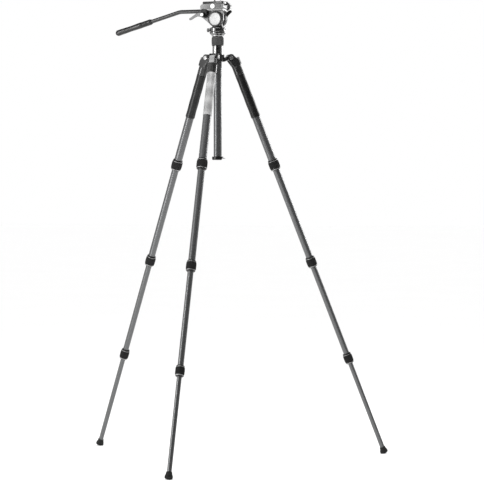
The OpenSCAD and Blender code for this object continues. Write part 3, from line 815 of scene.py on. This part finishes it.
class TRIPOD_OT_tubes(bpy.types.Operator):
    """Gives the sliding carbon tubes their woven finish."""

    bl_idname = "tripod.tubes"
    bl_label = "Carbon tubes"

    def execute(self, context):
        for leg in LEGS:
            for n in range(1, 5):
                give(f"{leg}_tube_{n}", "carbon " + leg)
        give("column_tube", "carbon column")
        give("neck_sleeve", "sleeve")
        give("tilt_axle", "steel")
        give("ballast_hook", "steel")
        return {"FINISHED"}


class TRIPOD_OT_locks(bpy.types.Operator):
    """Builds the nine twist locks of the legs."""

    bl_idname = "tripod.locks"
    bl_label = "Leg locks"

    def execute(self, context):
        for leg in LEGS:
            for n in range(1, 4):
                make_lock(leg, n, context.scene.tripod_sizes)
        return {"FINISHED"}


class TRIPOD_OT_feet(bpy.types.Operator):
    """Builds the three rubber feet."""

    bl_idname = "tripod.feet"
    bl_label = "Feet"

    def execute(self, context):
        for leg in LEGS:
            make_foot(leg)
        return {"FINISHED"}


class TRIPOD_OT_leg_tops(bpy.types.Operator):
    """Builds the leg castings, the angle stops, the foam grips and the wrap."""

    bl_idname = "tripod.leg_tops"
    bl_label = "Leg tops"

    def execute(self, context):
        for leg in LEGS:
            make_leg_top(leg)
        return {"FINISHED"}


class TRIPOD_OT_spider(bpy.types.Operator):
    """Builds the spider that carries the legs, and the caps of their hinge bolts."""

    bl_idname = "tripod.spider"
    bl_label = "Spider"

    def execute(self, context):
        cast("spider_casting", "spider", "spider", "cast dark", 0.9, 4)
        eased("hinge_bolt_caps", "hinge_bolts", "spider", "steel", 0.3)
        return {"FINISHED"}


class TRIPOD_OT_column(bpy.types.Operator):
    """Builds the column's lock collar, its bottom cap and the disc under the head."""

    bl_idname = "tripod.column"
    bl_label = "Centre column"

    def execute(self, context):
        sizes = context.scene.tripod_sizes
        place = column_place()
        low, high = measure("column_lock", place)
        radius = high.x
        neck = measure("neck_sleeve", place)[1].x + GAP
        column = measure("column_tube", place)[1].x + GAP
        neck_top = measure("neck_sleeve", place)[1].z + 0.5
        core = fillet([(neck, low.z), (radius - 1.6, low.z), (radius - 1.0, low.z + 1.6),
                       (radius - 1.6, low.z + 3.0), (radius - 1.6, high.z - 3.4),
                       (radius - 2.6, high.z - 1.2), (radius - 4.4, high.z), (column, high.z),
                       (column, neck_top), (neck, neck_top)], 0.6, 3, closed=True)
        build("column_lock_core", lathe(core, 96, closed=True), place, "column_collar",
              "black plastic", ["column_lock"])
        ribbed_grip("column_lock_rubber", place, low.z + 2.6, high.z - 3.0, radius - 0.6, radius - 2.4,
                    sizes.collar_ribs, 0.9, "column_collar", "collar rubber", swell=0.5)
        eased("column_end_cap", "column_cap", "column", "head black", 0.5)
        top = measure("pan_base", place)[0].z
        column_top = measure("column_tube", place)[1].z
        outline = [(0, column_top), (19.4, column_top), (19.9, column_top + 1.0),
                   (19.2, column_top + 2.0), (19.9, column_top + 3.0),
                   (19.4, top - 0.05), (0, top - 0.05)]
        disc("head_mounting_disc", place, outline, "column", "bare", ["head_disc"], 0.3)
        return {"FINISHED"}


class TRIPOD_OT_pan(bpy.types.Operator):
    """Builds the pan base, the turning housing above it and its two side knobs."""

    bl_idname = "tripod.pan"
    bl_label = "Pan bearing"

    def execute(self, context):
        sizes = context.scene.tripod_sizes
        place = head_place()
        low, high = measure("pan_base", place)
        radius = high.x
        split = measure("pan_housing", place)[0].z
        base_top = split - 0.3
        foot = measure("head_disc", place)[1].x
        outline = [(0, low.z), (foot, low.z), (radius - 0.3, low.z + 5.2), (radius, low.z + 6.4),
                   (radius, base_top - 1.2), (radius - 1.2, base_top), (0, base_top)]
        disc("pan_base_drum", place, outline, "column", "drum", ["pan_base"], 0.6)
        top = -HOUSING_TOP
        outline = [(0, split), (radius - 1.2, split), (radius, split + 1.0), (radius, top - 2.6),
                   (radius - 2.4, top), (0, top)]
        disc("pan_housing_drum", place, outline, "pan_head", "drum",
             ["pan_housing"], 0.8)
        arch = circle_points(PILLAR_RADIUS, start=180, end=0, steps=24)
        pillar = [(-PILLAR_RADIUS, top - 4), *[tuple(p) for p in arch],
                  (PILLAR_RADIUS, 0), (PILLAR_RADIUS, top - 4)]
        build("pan_housing_pillar", slab(pillar, -PILLAR_HALF, PILLAR_HALF), place, "pan_head",
              "head black", edge=1.2)
        self.knob("pan_lock_knob", "pan_lock", 6.4, 9.0, 16, "head silver", "head_black")
        self.knob("pan_drag_knob", "pan_drag", 10.4, 6.5, sizes.knob_teeth, "bare", "knob_grey")
        return {"FINISHED"}

    def knob(self, node, body, radius, length, teeth, finish, slot):
        """A serrated knob on the side of the housing, on its own screw."""
        x, z = Vector((0, 0, 1)), joint_along(body + "_turn")
        side = axes_at(joint_at(body + "_turn"), x, z.cross(x), z)
        start = measure(node, side)[1].z - length
        ribbed_grip(node + "_rim", side, start, start + length - 1.0, radius - 0.4, 2.0, teeth, 0.8,
                    body, finish, [node], edge=0.8)
        outline = [(0, start - 2.0), (2.4, start - 2.0), (2.4, start + length - 1.4),
                   (radius - 2.2, start + length - 1.4), (radius - 2.8, start + length),
                   (0, start + length - 0.5)]
        disc(node + "_face", side, outline, body, finish, edge=0.5, segments=64)


class TRIPOD_OT_cradle(bpy.types.Operator):
    """Builds the tilting cradle, the drag dial on one side and the tilt lock on the other."""

    bl_idname = "tripod.cradle"
    bl_label = "Tilt cradle"

    def execute(self, context):
        sizes = context.scene.tripod_sizes
        place = head_place()
        cast("tilt_cradle_casting", "tilt_cradle", "tilt_head", "head silver", 0.75, 4)
        low, high = measure("drag_dial", place)
        radius = high.x
        side = along_minus_y(place, 0, high.y, 0)
        deep = high.y - low.y
        ribbed_grip("drag_dial_rim", side, 0, deep - 2.0, radius - 0.4, radius - 6.0,
                    sizes.dial_teeth, 0.8, "tilt_drag", "black plastic",
                    ["drag_dial"], edge=1.4)
        cap = radius - 5.0
        outline = [(0, 0.4), (radius - 5.5, 0.4), (radius - 5.5, deep - 2.4), (cap, deep - 2.2),
                   (cap, deep - 0.8), (cap - 1.4, deep), (cap - 3.2, deep - 0.5), (0, deep - 0.5)]
        disc("drag_dial_face", side, outline, "tilt_drag", "spun", edge=0.4)
        self.tilt_lock(place)
        return {"FINISHED"}

    def tilt_lock(self, place):
        """The far side's lock: a thick hub with a raised, tapering lever."""
        low, high = measure("tilt_lock_lever", place)
        side = along_minus_y(place, 0, high.y, 0)
        thick = high.y - low.y
        ribbed_grip("tilt_lock_rim", side, 0.6, thick, TILT_HUB - 0.3, 6.0, TILT_TEETH, 0.6,
                    "tilt_lock", "black plastic", ["tilt_lock_lever"], edge=1.2)
        outline = [(0, -0.2), (15, -0.2), (16.5, 0.6), (16.5, 2.0), (0, 2.0)]
        disc("tilt_lock_cap", side, outline, "tilt_lock", "head silver", edge=0.4)
        turn = place @ Matrix.Rotation(math.radians(TILT_LEVER_ANGLE), 4, "Y")
        outline = [(14, -11), (24, -9.5), (34, -6.2), (47, -4.8), (50, -3.6), (50, 3.6), (47, 4.8),
                   (34, 5.6), (24, 7.5), (14, 9)]
        build("tilt_lock_arm", slab(outline, low.y + 1.0, high.y - 1.0), turn, "tilt_lock",
              "black plastic", edge=1.4)


class TRIPOD_OT_handle(bpy.types.Operator):
    """Builds the pan handle, its rubber grip, its clamp and the wing lever that tightens it."""

    bl_idname = "tripod.handle"
    bl_label = "Pan handle"

    def execute(self, context):
        place = head_place()
        cast("handle_clamp_block", "handle_clamp", "handle", "head black", 0.6, 4)
        self.tube(place, context.scene.tripod_sizes)
        self.lever(place)
        return {"FINISHED"}

    def tube(self, place, sizes):
        low, high = measure("handle_tube", place)
        radius = (high.y - low.y) / 2
        y = (high.y + low.y) / 2
        z = high.z - radius
        grip_low, grip_high = measure("handle_grip", place)
        grip_radius = (grip_high.y - grip_low.y) / 2
        end = Vector((grip_low.x + grip_radius, y, grip_low.z + grip_radius))
        slope = math.radians(HANDLE_SLOPE)
        bend = Vector((end.x + (z - end.z) / math.tan(slope), y, z))
        inner = Vector((high.x, y, z))
        along = (end - bend).normalized()
        reach = math.tan(slope / 2) * sizes.handle_bend / MM
        points = [inner, inner + Vector((-1.0, 0, 0))]
        for step in range(13):
            t = step / 12
            points.append((1 - t) ** 2 * (bend + Vector((reach, 0, 0))) + 2 * t * (1 - t) * bend
                          + t * t * (bend + along * reach))
        points.append(end - along * 8)
        build("handle_rod", sweep(points, [radius] * len(points), 48), place, "handle",
              "tube black", ["handle_tube"])
        down = axes_at(place @ bend, *self.rod_axes(place, along))
        full = (end - bend).length + grip_radius
        start = full - GRIP_LENGTH
        r = grip_radius
        outline = [(radius + 0.05, start), (r - 1.6, start), (r - 0.4, start + 2), (r - 0.4, start + 9)]
        for groove in range(GRIP_GROOVES):
            at = start + 11 + groove * 5
            outline += [(r - 0.4, at), (r - 1.3, at + 0.6), (r - 1.3, at + 1.4), (r - 0.4, at + 2.0)]
        outline += [(r, start + 42), (r - 0.9, start + 78), (r, full - r - 6)]
        outline += [(r * math.cos(math.radians(a)), full - r + r * math.sin(math.radians(a)))
                    for a in range(0, 90, 9)]
        outline += [(0, full)]
        outline = [(0, start + 1)] + outline
        disc("handle_grip_rubber", down, outline, "handle", "grip rubber",
             ["handle_grip"], 0.5, 72)
        ring("handle_grip_ring", down, start - 3.0, start + 0.4, radius + 1.6, radius - 0.4, "handle",
             "head black", edge=0.6)

    def rod_axes(self, place, along):
        """Unit axes in metres for a place whose Z runs down the handle."""
        turn = place.to_3x3().normalized()
        z = (turn @ along).normalized()
        y = (turn @ Vector((0, 1, 0))).normalized()
        return y.cross(z).normalized(), y, z

    def lever(self, place):
        centre = place.inverted() @ joint_at("handle_lock_turn")
        low = measure("clamp_lever", place)[0]
        clamp_face = measure("handle_clamp", place)[0].y - 0.3
        side = along_minus_y(place, centre.x, clamp_face, centre.z)
        deep = clamp_face - low.y
        outline = [(0, 0), (7.6, 0), (8.0, 1.4), (8.0, deep - 4.4), (6.6, deep - 2.6),
                   (5.4, deep - 2.2), (0, deep - 2.2)]
        disc("clamp_lever_hub", side, outline, "handle_lock", "black plastic",
             ["clamp_lever"], 0.6, 64)
        outline = [(0, deep - 2.4), (5.3, deep - 2.4), (5.6, deep - 1.6), (4.6, deep - 0.2), (0, deep)]
        disc("clamp_lever_cap", side, outline, "handle_lock", "light plastic",
             edge=0.5, segments=64)
        top = [(-3, 6.5), (-12, 7.2), (-22, 4.5), (-34, -3.0), (-44.5, -9.5)]
        tip = [tuple(p) for p in circle_points(4.0, (-43.5, -13.0), 130, 300, 10)]
        under = [(-38, -15.5), (-28, -9.6), (-18, -5.4), (-8, -6.4), (-3, -6.5)]
        outline = [(centre.x + x, centre.z + z) for x, z in top + tip + under]
        build("clamp_lever_wing", slab(outline, clamp_face - 6.4, clamp_face - 2.0), place,
              "handle_lock", "grey plastic", edge=1.2)


class TRIPOD_OT_plate(bpy.types.Operator):
    """Builds the plate receiver, the quick-release plate and their knobs, catch and screws."""

    bl_idname = "tripod.plate"
    bl_label = "Camera plate"

    def execute(self, context):
        sizes = context.scene.tripod_sizes
        place = head_place()
        eased("plate_receiver_body", "plate_receiver", "tilt_head", "head silver", 0.6)
        low = measure("plate_receiver", place)[0]
        badge = along_minus_y(place, BADGE_X, low.y, BADGE_Z)
        outline = [(0, -1), (BADGE_RADIUS, -1), (BADGE_RADIUS, 0.35), (BADGE_RADIUS - 0.6, 0.6),
                   (0, 0.6)]
        disc("receiver_badge", badge, outline, "tilt_head", "light plastic", edge=0.2)
        self.catch(place)
        self.knob(place, sizes)
        eased("quick_plate_body", "quick_plate", "plate", "head black", 0.5)
        self.pad(place)
        self.posts(place)
        return {"FINISHED"}

    def catch(self, place):
        """The sprung safety catch, ribbed for a thumb."""
        low, high = measure("plate_safety_catch", place)
        body = block(low.x, high.x, low.y + 0.8, high.y, low.z, high.z)
        step = (high.x - low.x - 2.4) / (CATCH_BARS - 1)
        values = {"Count": CATCH_BARS, "Start": (low.x + 1.2, low.y + 0.7, (low.z + high.z) / 2),
                  "Step": (step, 0, 0), "Bar": (1.3, 1.4, high.z - low.z - 0.8), "Turn": (0, 0, 0)}
        build_by_rule("safety_catch_button", body, row_tree, values, place, "catch", "grey plastic",
                      ["plate_safety_catch"], 0.25)

    def knob(self, place, sizes):
        """The clamping knob on the far side of the receiver."""
        low, high = measure("plate_clamp_knob", place)
        centre = place.inverted() @ joint_at("plate_lock_turn")
        radius = (high.x - low.x) / 2
        start = measure("plate_receiver", place)[1].y + 0.7
        side = along_minus_y(place, centre.x, start, centre.z) @ Matrix.Rotation(math.pi, 4, "X")
        deep = high.y - start
        ribbed_grip("clamp_knob_rim", side, 0, deep, radius - 0.5, 4.0, sizes.knob_teeth, 1.0,
                    "plate_lock", "bare", ["plate_clamp_knob"], edge=1.2)
        outline = [(0, -3), (3, -3), (3, 0.6), (4.6, 0.6), (4.6, deep - 0.4), (radius - 4, deep - 0.4),
                   (radius - 4.6, deep - 0.1), (0, deep - 0.1)]
        disc("clamp_knob_face", side, outline, "plate_lock", "head black", edge=0.3,
             segments=64)

    def pad(self, place):
        """The rubber pad, with ridges across it that grip a camera."""
        low, high = measure("plate_pad", place)
        body = block(low.x, high.x, low.y, high.y, low.z, high.z - 0.5)
        step = (high.x - low.x - 3) / (PAD_BARS - 1)
        values = {"Count": PAD_BARS, "Start": (low.x + 1.5, (low.y + high.y) / 2, high.z - 0.5),
                  "Step": (step, 0, 0), "Bar": (1.3, high.y - low.y - 2, 0.9), "Turn": (0, 0, 0)}
        build_by_rule("plate_pad_rubber", body, row_tree, values, place, "plate", "pad",
                      ["plate_pad"], 0.2)

    def posts(self, place):
        """The threaded camera screw and the smooth pin beside it."""
        low, high = measure("camera_screw", place)
        centre_x = (low.x + high.x) / 2
        at = place @ Matrix.Translation((centre_x, 0, 0))
        bm = thread(THREAD_RADIUS, low.z + 3, high.z, THREAD_PITCH)
        build("camera_screw_thread", bm, at, "screw", "sleeve", ["camera_screw"], crease=40)
        head = (high.x - low.x) / 2
        outline = [(0, low.z), (head - 0.6, low.z), (head, low.z + 0.6), (head, low.z + 3.0),
                   (0, low.z + 3.4)]
        disc("camera_screw_head", at, outline, "screw", "sleeve", edge=0.2, segments=64)
        low, high = measure("video_pin", place)
        at = place @ Matrix.Translation(((low.x + high.x) / 2, 0, 0))
        outline = [(0, low.z), (4, low.z), (4, low.z + 1.6), (2, low.z + 1.6), (2, high.z - 0.8),
                   (1.3, high.z), (0, high.z)]
        disc("video_pin_post", at, outline, "pin", "sleeve", ["video_pin"], 0.2, 48)


def thread(radius, low, high, pitch, depth=0.6, segments=36):
    """A bmesh of a screw thread that winds up Z, with a chamfered end."""
    bm = bmesh.new()
    rows = int((high - low) / pitch * 8)
    rings = []
    for row in range(rows + 1):
        z = low + (high - low) * row / rows
        taper = min(1.0, (high - z) / 0.9)
        verts = []
        for k in range(segments):
            turn = (z / pitch - k / segments) % 1.0
            r = radius - depth * abs(2 * turn - 1) * taper - (1 - taper) * 0.7
            verts.append(bm.verts.new((r * math.cos(TAU * k / segments),
                                       r * math.sin(TAU * k / segments), z)))
        rings.append(verts)
    for lower, upper in zip(rings, rings[1:]):
        for k in range(segments):
            m = (k + 1) % segments
            bm.faces.new((lower[k], lower[m], upper[m], upper[k]))
    bm.faces.new(rings[0][::-1])
    bm.faces.new(rings[-1])
    bmesh.ops.recalc_face_normals(bm, faces=bm.faces)
    return bm


class TRIPOD_OT_stage(bpy.types.Operator):
    """Sets the pale floor, the soft studio light and the camera."""

    bl_idname = "tripod.stage"
    bl_label = "Studio"

    def execute(self, context):
        look = context.scene.studio_look
        self.room(look)
        self.lights(look)
        self.camera(context.scene, look)
        return {"FINISHED"}

    def room(self, look):
        bm = bmesh.new()
        bmesh.ops.create_grid(bm, x_segments=2, y_segments=2, size=FLOOR_HALF)
        floor = mesh_object("studio_floor", bm, Matrix.Identity(4))
        floor.data.materials.append(plain_wall("studio floor", look.floor_grey))
        world = bpy.data.worlds.new("soft white room")
        world.use_nodes = True
        world.node_tree.nodes["Background"].inputs["Color"].default_value = (1, 1, 1, 1)
        world.node_tree.nodes["Background"].inputs["Strength"].default_value = 1.0
        bpy.context.scene.world = world

    def card(self, name, bm, tone):
        """A studio card that only reflections see, so it gives the gloss its dark parts."""
        card = mesh_object(name, bm, Matrix.Identity(4))
        card.data.materials.append(plain_wall(name + " cloth", tone))
        card.visible_camera = False
        card.visible_diffuse = False
        card.visible_shadow = False
        card.visible_transmission = False

    def wall(self, name, bearing, start, end, tone):
        """A curved card round the column, between two angles from the camera's bearing."""
        centre = joint_at("column_lock_turn")
        bm = bmesh.new()
        rows = []
        steps = 16
        for i in range(steps + 1):
            angle = bearing + math.radians(start + (end - start) * i / steps)
            x = centre.x + CARD_DISTANCE * math.cos(angle)
            y = centre.y + CARD_DISTANCE * math.sin(angle)
            rows.append((bm.verts.new((x, y, CARD_BELOW)), bm.verts.new((x, y, CARD_HEIGHT))))
        for left, right in zip(rows, rows[1:]):
            bm.faces.new((left[0], right[0], right[1], left[1]))
        self.card(name, bm, tone)

    def lid(self, tone):
        centre = joint_at("column_lock_turn")
        bm = bmesh.new()
        bmesh.ops.create_circle(bm, cap_ends=True, segments=48, radius=CARD_DISTANCE)
        bmesh.ops.translate(bm, verts=bm.verts, vec=(centre.x, centre.y, CARD_HEIGHT))
        self.card("studio_lid", bm, tone)

    def lights(self, look):
        centre = joint_at("column_lock_turn")
        bearing = look.camera_bearing
        for name, start, end, tone in STUDIO_WALLS:
            self.wall(name, bearing, start, end, tone)
        self.lid(LID_TONE)
        for name, turn, distance, height, size, share in LAMPS:
            self.area(name, centre, bearing + math.radians(turn), distance, height, size,
                      look.key_watts * share)

    def area(self, name, centre, bearing, distance, height, size, watts):
        data = bpy.data.lights.new(name, "AREA")
        data.shape = "RECTANGLE"
        data.size, data.size_y = size
        data.energy = watts
        lamp = bpy.data.objects.new(name, data)
        lamp.visible_camera = False
        bpy.context.scene.collection.objects.link(lamp)
        lamp.location = (centre.x + distance * math.cos(bearing),
                         centre.y + distance * math.sin(bearing), height)
        aim = Vector((centre.x, centre.y, AIM_HEIGHT)) - lamp.location
        lamp.rotation_euler = aim.to_track_quat("-Z", "Y").to_euler()

    def camera(self, scene, look):
        centre = joint_at("column_lock_turn")
        data = bpy.data.cameras.new("studio camera")
        data.lens = look.camera_lens
        data.sensor_width = 36.0
        data.clip_end = 200.0
        camera = bpy.data.objects.new("studio_camera", data)
        scene.collection.objects.link(camera)
        bearing = look.camera_bearing
        camera.location = (centre.x + look.camera_distance * math.cos(bearing),
                           centre.y + look.camera_distance * math.sin(bearing), look.camera_height)
        heading = bearing + math.pi / 2 - look.camera_aside
        camera.rotation_euler = (math.pi / 2 - look.camera_pitch, 0.0, heading)
        scene.camera = camera
        scene.view_settings.view_transform = "Standard"


class TRIPOD_PT_pieces(bpy.types.Panel):
    """Lists the steps that build the tripod."""

    bl_idname = "TRIPOD_PT_pieces"
    bl_label = "Tripod"
    bl_space_type = "VIEW_3D"
    bl_region_type = "UI"
    bl_category = "Tripod"

    def draw(self, context):
        layout = self.layout
        for group in (context.scene.tripod_sizes, context.scene.studio_look):
            for name in group.__annotations__:
                layout.prop(group, name)
        for step in STEPS:
            layout.operator(step.bl_idname)


STEPS = (
    TRIPOD_OT_tubes,
    TRIPOD_OT_locks,
    TRIPOD_OT_feet,
    TRIPOD_OT_leg_tops,
    TRIPOD_OT_spider,
    TRIPOD_OT_column,
    TRIPOD_OT_pan,
    TRIPOD_OT_cradle,
    TRIPOD_OT_handle,
    TRIPOD_OT_plate,
    TRIPOD_OT_stage,
)
CLASSES = (TripodSizes, StudioLook, *STEPS, TRIPOD_PT_pieces)


def register():
    for made in CLASSES:
        bpy.utils.register_class(made)
    bpy.types.Scene.tripod_sizes = bpy.props.PointerProperty(type=TripodSizes)
    bpy.types.Scene.studio_look = bpy.props.PointerProperty(type=StudioLook)


def unregister():
    del bpy.types.Scene.studio_look
    del bpy.types.Scene.tripod_sizes
    for made in reversed(CLASSES):
        bpy.utils.unregister_class(made)


def main():
    register()
    make_finishes()
    for step in STEPS:
        group, name = step.bl_idname.split(".")
        getattr(getattr(bpy.ops, group), name)()


if __name__ == "__main__":
    main()
